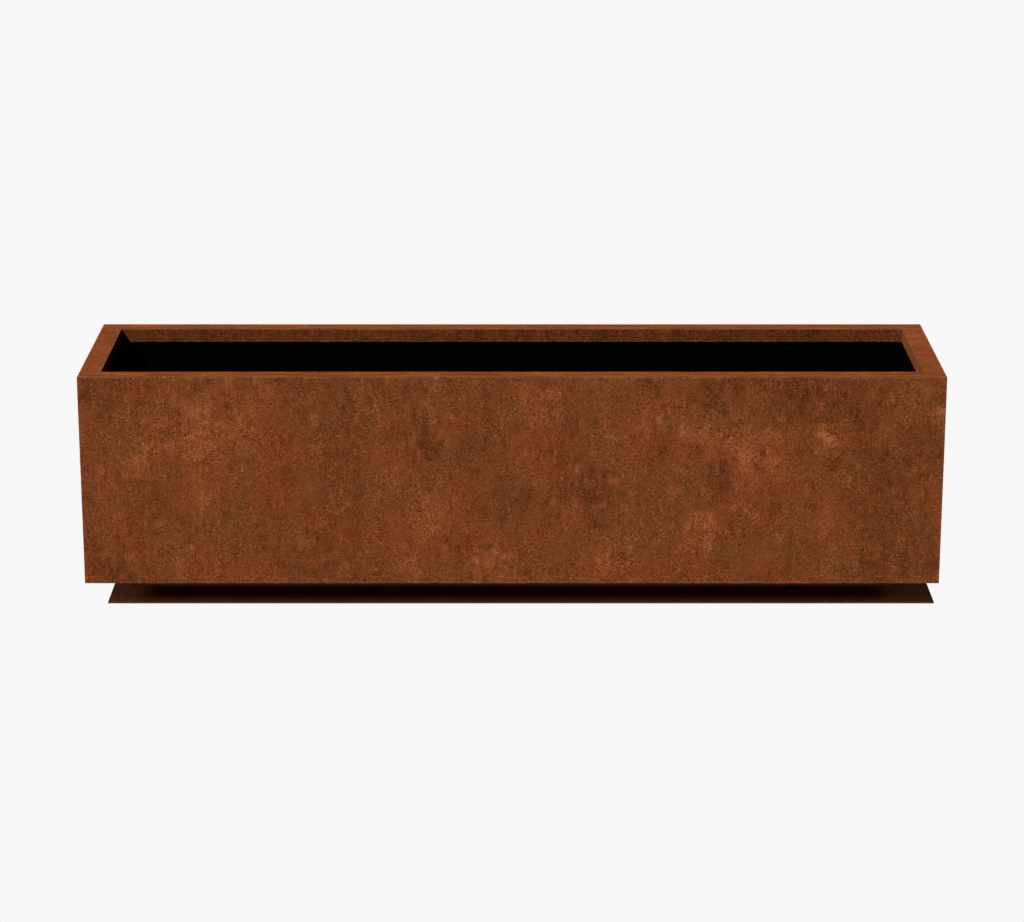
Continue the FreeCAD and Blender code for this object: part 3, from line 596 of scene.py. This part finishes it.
# ---------------------------------------------------------------- settings a user would change
class PlanterLook(bpy.types.PropertyGroup):
    """Colours and sizes of the rusted skin."""

    dark: bpy.props.FloatVectorProperty(
        name="Dark Rust",
        description="Darkest brown of the skin",
        subtype="COLOR",
        default=(0.076, 0.020, 0.0048),
    )
    brown: bpy.props.FloatVectorProperty(
        name="Brown Rust",
        description="Tight brown areas",
        subtype="COLOR",
        default=(0.155, 0.042, 0.0115),
    )
    orange: bpy.props.FloatVectorProperty(
        name="Orange Rust",
        description="Common orange-brown",
        subtype="COLOR",
        default=(0.308, 0.086, 0.0267),
    )
    light: bpy.props.FloatVectorProperty(
        name="Light Rust",
        description="Loose light rust",
        subtype="COLOR",
        default=(0.545, 0.170, 0.061),
    )
    cloud_size: bpy.props.FloatProperty(
        name="Cloud Size", description="Width of the largest clouds", unit="LENGTH", default=0.17
    )
    scab_size: bpy.props.FloatProperty(
        name="Scab Size", description="Width of the ragged scabs", unit="LENGTH", default=0.036
    )
    grain_size: bpy.props.FloatProperty(
        name="Grain Size", description="Width of the fine grain", unit="LENGTH", default=0.0038
    )
    cloud_weight: bpy.props.FloatProperty(
        name="Cloud Weight", description="How much the clouds change the tone", default=0.6
    )
    scab_weight: bpy.props.FloatProperty(
        name="Scab Weight", description="How much the scabs change the tone", default=0.074
    )
    grain_weight: bpy.props.FloatProperty(
        name="Grain Weight", description="How much the grain changes the tone", default=1.22
    )
    pit_weight: bpy.props.FloatProperty(
        name="Pit Weight", description="How dark the pits are", subtype="FACTOR", default=0.62
    )
    crumb_weight: bpy.props.FloatProperty(
        name="Crumb Weight", description="How light the loose crumbs are", subtype="FACTOR", default=0.2
    )
    run_weight: bpy.props.FloatProperty(
        name="Run Mark Weight", description="How strongly water marks show", default=0.26
    )
    hue_change: bpy.props.FloatProperty(
        name="Hue Change", description="How far areas turn redder or yellower", subtype="FACTOR", default=0.5
    )
    rim_tone: bpy.props.FloatProperty(
        name="Rim Tone", description="Tone of the flat rim", subtype="FACTOR", default=0.465
    )
    edge_width: bpy.props.FloatProperty(
        name="Edge Width", description="Width of the rubbed edges", unit="LENGTH", default=0.006
    )
    rust_specular: bpy.props.FloatProperty(
        name="Rust Sheen", description="Specular level of the rust", subtype="FACTOR", default=0.04
    )
    relief_strength: bpy.props.FloatProperty(
        name="Relief Strength", description="Share of the relief that shows", subtype="FACTOR", default=0.45
    )
    relief_depth: bpy.props.FloatProperty(
        name="Relief Depth", description="Height of the rust's relief", unit="LENGTH", default=0.0016
    )
    # painted shade: darkens the plinth and base plate for the shade under the box
    base_painted_shade: bpy.props.FloatProperty(
        name="Base Shade", description="Base colour against the walls", subtype="FACTOR", default=0.8
    )


class PlanterStage(bpy.types.PropertyGroup):
    """Camera place, lamps and floor."""

    camera_distance: bpy.props.FloatProperty(
        name="Camera Distance", description="Camera to the front wall", unit="LENGTH", default=6.946
    )
    camera_height: bpy.props.FloatProperty(
        name="Camera Height", description="Camera above the ground", unit="LENGTH", default=2.42
    )
    camera_tilt: bpy.props.FloatProperty(
        name="Camera Tilt", description="How far the camera looks down", subtype="ANGLE", default=0.28974
    )
    lens: bpy.props.FloatProperty(
        name="Lens", description="Focal length on a 36 mm sensor", unit="CAMERA", default=110.07
    )
    key_strength: bpy.props.FloatProperty(
        name="Key Strength", description="Irradiance of the key lamp", default=4.07
    )
    key_right: bpy.props.FloatProperty(
        name="Key to the Right", description="How far the light moves right per unit of drop", default=0.67
    )
    key_back: bpy.props.FloatProperty(
        name="Key to the Back", description="How far the light moves back per unit of drop", default=0.36
    )
    key_softness: bpy.props.FloatProperty(
        name="Key Softness", description="Angle of the key lamp's disc", subtype="ANGLE", default=0.05
    )
    paper: bpy.props.FloatProperty(
        name="Floor Brightness", description="How bright the floor looks", subtype="FACTOR", default=0.93
    )
    bounce: bpy.props.FloatProperty(
        name="Floor Bounce", description="Light the floor throws back", subtype="FACTOR", default=0.66
    )
    ambient: bpy.props.FloatProperty(
        name="Ambient", description="Soft light from all around", subtype="FACTOR", default=0.014
    )
    plate_lamp: bpy.props.FloatProperty(
        name="Plate Lamp", description="Power of the lamps above the base plate", unit="POWER", default=16.0
    )
    plinth_lamp: bpy.props.FloatProperty(
        name="Plinth Lamp", description="Power of the low lamps for the plinth", unit="POWER", default=12.5
    )
    end_lamp: bpy.props.FloatProperty(
        name="End Lamp", description="Power of the lamp left of the base", unit="POWER", default=48.0
    )


# ---------------------------------------------------------------- operators
EASED_ANGLE = math.radians(40)


def dress(items, material):
    """Give frame objects a material in every slot."""
    if not items:
        raise RuntimeError(f"no pieces to finish with {material.name}")
    for item in items:
        if not item.data.materials:
            item.data.materials.append(material)
        for index in range(len(item.data.materials)):
            item.data.materials[index] = material


def eased(items, width):
    """Take the sharpness off the edges of small parts; width is in metres."""
    for item in items:
        bevel = item.modifiers.new("eased_edges", "BEVEL")
        bevel.width = width
        bevel.segments = 2
        bevel.limit_method = "ANGLE"
        bevel.angle_limit = EASED_ANGLE
        bevel.harden_normals = False


class PLANTER_OT_walls(bpy.types.Operator):
    """Finish the four folded walls as rusted steel"""

    bl_idname = "planter.walls"
    bl_label = "Walls"

    def execute(self, context):
        look = context.scene.planter_look
        front = weathering_steel("rust_front", look, FRONT_PATCHES)
        dress(nodes_named("front_panel"), front)
        others = nodes_named("back_panel", "left_panel", "right_panel")
        dress(others, weathering_steel("rust_sides", look))
        return {"FINISHED"}


class PLANTER_OT_base(bpy.types.Operator):
    """Finish the plinth and the base plate as darker rusted steel"""

    bl_idname = "planter.base"
    bl_label = "Plinth and Base Plate"

    def execute(self, context):
        parts = nodes_named("plinth_", "base_plate")
        dress(parts, base_steel(context.scene.planter_look))
        return {"FINISHED"}


class PLANTER_OT_liner(bpy.types.Operator):
    """Finish the liner boards in near-black, painted shade of the deep inside of the box"""

    bl_idname = "planter.liner"
    bl_label = "Liner Boards"

    def execute(self, context):
        boards = nodes_named("liner_back", "liner_front", "liner_left", "liner_right")
        dress(boards, liner_board())
        return {"FINISHED"}


class PLANTER_OT_floor(bpy.types.Operator):
    """Finish the floor plate and the cross ties with their black coat, dark partly as painted shade of the
    inside of the box
    """

    bl_idname = "planter.floor"
    bl_label = "Floor Plate and Ties"

    def execute(self, context):
        ties = nodes_named("cross_tie", "tie_plate")
        dress(nodes_named("floor_plate") + ties, black_coat_and_shade())
        eased(ties, 0.0008)
        return {"FINISHED"}


class PLANTER_OT_stiffening(bpy.types.Operator):
    """Finish the corner angles and wall stiffeners as galvanised steel"""

    bl_idname = "planter.stiffening"
    bl_label = "Angles and Stiffeners"

    def execute(self, context):
        dress(nodes_named("corner_angle", "wall_stiffener"), galvanised_steel())
        return {"FINISHED"}


class PLANTER_OT_drains(bpy.types.Operator):
    """Finish the drain outlets, strainers, caps and rivets as moulded parts"""

    bl_idname = "planter.drains"
    bl_label = "Drains and Caps"

    def execute(self, context):
        plastic = moulded_black("black_plastic", 0.014, 0.04, 0.5)
        moulded = nodes_named("drain_", "liner_rivets")
        dress(moulded, plastic)
        caps = nodes_named("access_caps")
        dress(caps, moulded_black("cap_rubber", 0.016, 0.045, 0.7))
        eased(moulded + caps, 0.0006)
        return {"FINISHED"}


class PLANTER_OT_fasteners(bpy.types.Operator):
    """Finish the bolts, nuts, washers and studs"""

    bl_idname = "planter.fasteners"
    bl_label = "Fasteners"

    def execute(self, context):
        steel = nodes_named("floor_bolt", "base_stud", "tie_bolt", "wall_stud")
        dress(steel, fastener_steel())
        eased(nodes_named("floor_bolts", "tie_bolts"), 0.0005)
        return {"FINISHED"}


# ---------------------------------------------------------------- stage
FLOOR_REACH = 40.0
FLOOR_DROP = 0.0005
KEY_HEIGHT = 4.0
FLOOR_LAMP_HEIGHT = 5.0
SENSOR_WIDTH = 36.0
VIEW_REACH = 200.0
BLACK = rgba((0.0, 0.0, 0.0))

# lamps that light only the plinth and the base plate: name, its power setting, share of that power,
# then width, height and place in metres
BASE_LAMPS = (
    ("front_plate_lamp", "plate_lamp", 1.0, 4.0, 1.5, (-1.0, -2.2, 2.65)),
    ("back_plate_lamp", "plate_lamp", 1.0, 4.0, 1.5, (-1.0, 2.2, 2.65)),
    ("front_plinth_lamp", "plinth_lamp", 1.0, 4.0, 0.3, (0.0, -3.4, 0.22)),
    ("back_plinth_lamp", "plinth_lamp", 1.0, 4.0, 0.3, (0.0, 3.4, 0.22)),
    ("left_end_lamp", "end_lamp", 1.0, 1.5, 0.42, (-4.1, -0.2, 1.17)),
    ("right_end_lamp", "end_lamp", 0.4, 1.5, 0.42, (4.1, -0.2, 1.17)),
)
# each base lamp looks at the nearest point of the ground within these distances of the middle
AIM_REACH = (0.9, 0.2)


def lamp(name, kind, **settings):
    """A lamp object in the scene."""
    data = bpy.data.lights.new(name, kind)
    for key, setting in settings.items():
        setattr(data, key, setting)
    item = bpy.data.objects.new(name, data)
    bpy.context.scene.collection.objects.link(item)
    return item


def aimed(item, place, target):
    """Stand an object at a place and turn it to look at a target."""
    item.location = place
    item.rotation_euler = (Vector(target) - Vector(place)).to_track_quat("-Z", "Y").to_euler()


def lit_only(light, items, name):
    """Let a lamp light only the given objects."""
    receivers = bpy.data.collections.new(name)
    for item in items:
        receivers.objects.link(item)
    light.light_linking.receiver_collection = receivers


class PLANTER_OT_stage(bpy.types.Operator):
    """Set up the pale floor, the lamps and the camera"""

    bl_idname = "planter.stage"
    bl_label = "Stage"

    def execute(self, context):
        stage = context.scene.planter_stage
        floor = self.make_floor(stage)
        self.make_lamps(stage, floor)
        self.make_world(context.scene, stage)
        self.make_camera(context.scene, stage)
        context.scene.view_settings.view_transform = "Standard"
        return {"FINISHED"}

    def make_floor(self, stage):
        """A wide pale floor that looks evenly lit and throws back a little less light."""
        corners = [(x * FLOOR_REACH, y * FLOOR_REACH, 0.0) for x, y in ((-1, -1), (1, -1), (1, 1), (-1, 1))]
        mesh = bpy.data.meshes.new("studio_floor")
        mesh.from_pydata(corners, [], [(0, 1, 2, 3)])
        floor = bpy.data.objects.new("studio_floor", mesh)
        floor.location.z = -FLOOR_DROP
        bpy.context.scene.collection.objects.link(floor)
        material, tree, shader, place = new_material("studio_floor", 0.9, specular=0.0)
        seen = tree.node("ShaderNodeLightPath").outputs["Is Camera Ray"]
        tree.put(shader["Base Color"], tree.mix(seen, grey(stage.bounce), BLACK))
        tree.put(shader["Emission Color"], tree.mix(seen, BLACK, grey(stage.paper)))
        shader["Emission Strength"].default_value = 1.0
        floor.data.materials.append(material)
        return floor

    def make_lamps(self, stage, floor):
        """The key from the upper left, an even lamp for the floor, and lamps for the base only."""
        parts = list(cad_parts.values())
        base = nodes_named("plinth_", "base_plate")
        key = lamp("key_lamp", "SUN", energy=stage.key_strength, angle=stage.key_softness)
        slope = Vector((-stage.key_right, -stage.key_back, 1.0))
        aimed(key, slope * KEY_HEIGHT, (0.0, 0.0, 0.0))
        lit_only(key, [item for item in parts if item not in base], "lit_by_key")

        even = lamp("floor_lamp", "SUN", energy=math.pi, angle=0.1)
        aimed(even, (0.0, 0.0, FLOOR_LAMP_HEIGHT), (0.0, 0.0, 0.0))
        lit_only(even, [floor], "lit_by_floor_lamp")
        even.light_linking.blocker_collection = even.light_linking.receiver_collection

        for name, setting, share, width, height, place in BASE_LAMPS:
            power = getattr(stage, setting) * share
            item = lamp(name, "AREA", energy=power, shape="RECTANGLE", size=width, size_y=height)
            x, y = (max(-reach, min(reach, part)) for part, reach in zip(place, AIM_REACH))
            aimed(item, place, (x, y, 0.0))
            lit_only(item, base, f"lit_by_{name}")

    def make_world(self, scene, stage):
        """A pale backdrop to look at, with only a little light coming from it."""
        world = bpy.data.worlds.new("studio")
        world.use_nodes = True
        tree = Tree(world.node_tree)
        background = world.node_tree.nodes["Background"]
        seen = tree.node("ShaderNodeLightPath").outputs["Is Camera Ray"]
        shown = tree.mix(seen, grey(stage.ambient), grey(stage.paper))
        tree.put(background.inputs["Color"], shown)
        scene.world = world

    def make_camera(self, scene, stage):
        """A long lens, straight in front and a little above."""
        data = bpy.data.cameras.new("camera")
        data.lens = stage.lens
        data.sensor_width = SENSOR_WIDTH
        data.clip_end = VIEW_REACH
        item = bpy.data.objects.new("camera", data)
        item.location = (0.0, SHELL_LOW.y - stage.camera_distance, stage.camera_height)
        item.rotation_euler = (math.pi / 2 - stage.camera_tilt, 0.0, 0.0)
        scene.collection.objects.link(item)
        scene.camera = item


OPERATORS = (
    PLANTER_OT_walls,
    PLANTER_OT_base,
    PLANTER_OT_liner,
    PLANTER_OT_floor,
    PLANTER_OT_stiffening,
    PLANTER_OT_drains,
    PLANTER_OT_fasteners,
    PLANTER_OT_stage,
)


class PLANTER_PT_panel(bpy.types.Panel):
    """Lists the planter's sizes, colours and pieces"""

    bl_idname = "PLANTER_PT_panel"
    bl_label = "Steel Planter Box"
    bl_space_type = "VIEW_3D"
    bl_region_type = "UI"
    bl_category = "Planter"

    def draw(self, context):
        layout = self.layout
        for settings in (context.scene.planter_look, context.scene.planter_stage):
            box = layout.box()
            for name in settings.__annotations__:
                box.prop(settings, name)
        for operator in OPERATORS:
            layout.operator(operator.bl_idname, text=operator.bl_label)


CLASSES = (PlanterLook, PlanterStage) + OPERATORS + (PLANTER_PT_panel,)


def register():
    for item in CLASSES:
        bpy.utils.register_class(item)
    bpy.types.Scene.planter_look = bpy.props.PointerProperty(type=PlanterLook)
    bpy.types.Scene.planter_stage = bpy.props.PointerProperty(type=PlanterStage)


def unregister():
    del bpy.types.Scene.planter_stage
    del bpy.types.Scene.planter_look
    for item in reversed(CLASSES):
        bpy.utils.unregister_class(item)


def main():
    """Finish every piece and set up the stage."""
    register()
    bpy.ops.planter.walls()
    bpy.ops.planter.base()
    bpy.ops.planter.liner()
    bpy.ops.planter.floor()
    bpy.ops.planter.stiffening()
    bpy.ops.planter.drains()
    bpy.ops.planter.fasteners()
    bpy.ops.planter.stage()


if __name__ == "__main__":
    main()
